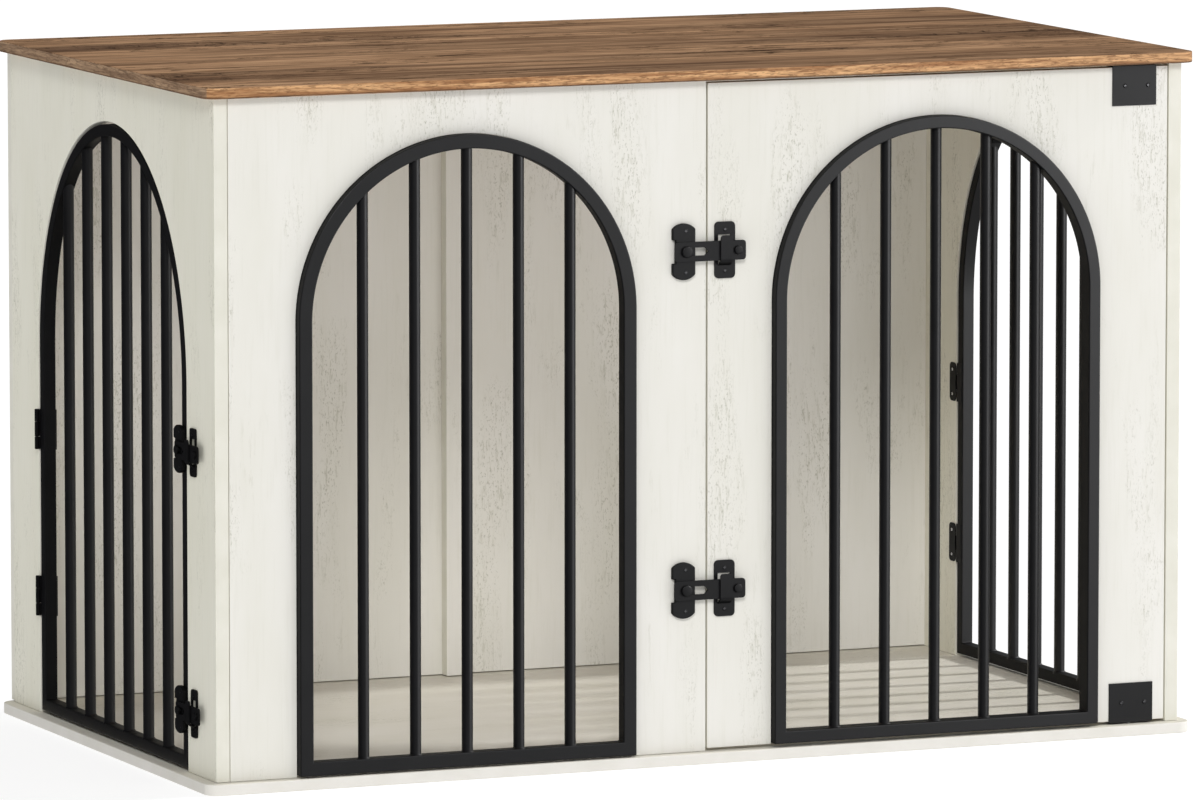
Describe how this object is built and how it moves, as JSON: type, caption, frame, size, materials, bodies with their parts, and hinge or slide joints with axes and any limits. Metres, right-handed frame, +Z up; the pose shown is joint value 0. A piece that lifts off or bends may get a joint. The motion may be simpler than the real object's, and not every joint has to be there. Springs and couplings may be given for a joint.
{
  "type": "dog crate end table",
  "caption": "Boarded dog crate that doubles as an end table, with a barred arched window, a barred front door and barred metal doors in both sides, all held by swing latches.",
  "frame": {"origin": "on the floor, under the middle of the base board", "axes": "+X to the right along the front, +Y to the back, +Z up"},
  "size_m": [1.146, 0.648, 0.744],
  "materials": {
    "white_board": "distressed off-white laminate on particle board",
    "walnut_board": "walnut grain laminate on particle board",
    "black_metal": "satin black powder coat on steel"
  },
  "bodies": {
    "cabinet": {"top_board": "walnut_board", "base_board": "white_board", "left_side_panel": "white_board", "right_side_panel": "white_board", "fixed_front_panel": "white_board", "back_panel_left": "white_board", "back_panel_right": "white_board", "back_batten": "white_board", "window_frame": "black_metal", "window_bar_1": "black_metal", "window_bar_2": "black_metal", "window_bar_3": "black_metal", "window_bar_4": "black_metal", "window_bar_5": "black_metal", "left_upper_hinge_leaf": "black_metal", "left_lower_hinge_leaf": "black_metal", "right_upper_hinge_leaf": "black_metal", "right_lower_hinge_leaf": "black_metal", "front_upper_latch_base": "black_metal", "front_lower_latch_base": "black_metal", "left_upper_latch_keeper": "black_metal", "left_lower_latch_keeper": "black_metal", "right_upper_latch_keeper": "black_metal", "right_lower_latch_keeper": "black_metal"},
    "front_door": {"front_door_panel": "white_board", "front_door_frame": "black_metal", "front_door_bar_1": "black_metal", "front_door_bar_2": "black_metal", "front_door_bar_3": "black_metal", "front_door_bar_4": "black_metal", "front_door_bar_5": "black_metal", "upper_pivot_plate": "black_metal", "lower_pivot_plate": "black_metal", "front_upper_latch_keeper": "black_metal", "front_lower_latch_keeper": "black_metal"},
    "left_door": {"left_door_frame": "black_metal", "left_door_bar_1": "black_metal", "left_door_bar_2": "black_metal", "left_door_bar_3": "black_metal", "left_door_bar_4": "black_metal", "left_door_bar_5": "black_metal", "left_door_bar_6": "black_metal", "left_upper_latch_base": "black_metal", "left_lower_latch_base": "black_metal"},
    "right_door": {"right_door_frame": "black_metal", "right_door_bar_1": "black_metal", "right_door_bar_2": "black_metal", "right_door_bar_3": "black_metal", "right_door_bar_4": "black_metal", "right_door_bar_5": "black_metal", "right_door_bar_6": "black_metal", "right_upper_latch_base": "black_metal", "right_lower_latch_base": "black_metal"},
    "front_upper_latch": {"front_upper_latch_bar": "black_metal"},
    "front_lower_latch": {"front_lower_latch_bar": "black_metal"},
    "left_upper_latch": {"left_upper_latch_bar": "black_metal"},
    "left_lower_latch": {"left_lower_latch_bar": "black_metal"},
    "right_upper_latch": {"right_upper_latch_bar": "black_metal"},
    "right_lower_latch": {"right_lower_latch_bar": "black_metal"}
  },
  "joints": [
    {"name": "front_door_hinge", "type": "hinge", "parent": "cabinet", "child": "front_door", "pos_m": [0.503, -0.3045, 0.372], "axis": [0, 0, 1], "range_deg": [0, 140]},
    {"name": "left_door_hinge", "type": "hinge", "parent": "cabinet", "child": "left_door", "pos_m": [-0.5627, 0.227, 0.233], "axis": [0, 0, -1], "range_deg": [0, 165]},
    {"name": "right_door_hinge", "type": "hinge", "parent": "cabinet", "child": "right_door", "pos_m": [0.5627, 0.227, 0.233], "axis": [0, 0, 1], "range_deg": [0, 165]},
    {"name": "front_upper_latch_swing", "type": "hinge", "parent": "cabinet", "child": "front_upper_latch", "pos_m": [-0.0264, -0.312, 0.5502], "axis": [0, -1, 0], "range_deg": [0, 90]},
    {"name": "front_lower_latch_swing", "type": "hinge", "parent": "cabinet", "child": "front_lower_latch", "pos_m": [-0.0264, -0.312, 0.1872], "axis": [0, -1, 0], "range_deg": [0, 90]},
    {"name": "left_upper_latch_swing", "type": "hinge", "parent": "left_door", "child": "left_upper_latch", "pos_m": [-0.56, -0.2191, 0.354], "axis": [-1, 0, 0], "range_deg": [0, 90]},
    {"name": "left_lower_latch_swing", "type": "hinge", "parent": "left_door", "child": "left_lower_latch", "pos_m": [-0.56, -0.2191, 0.077], "axis": [-1, 0, 0], "range_deg": [0, 90]},
    {"name": "right_upper_latch_swing", "type": "hinge", "parent": "right_door", "child": "right_upper_latch", "pos_m": [0.56, -0.2191, 0.354], "axis": [-1, 0, 0], "range_deg": [0, 90]},
    {"name": "right_lower_latch_swing", "type": "hinge", "parent": "right_door", "child": "right_lower_latch", "pos_m": [0.56, -0.2191, 0.077], "axis": [-1, 0, 0], "range_deg": [0, 90]}
  ]
}
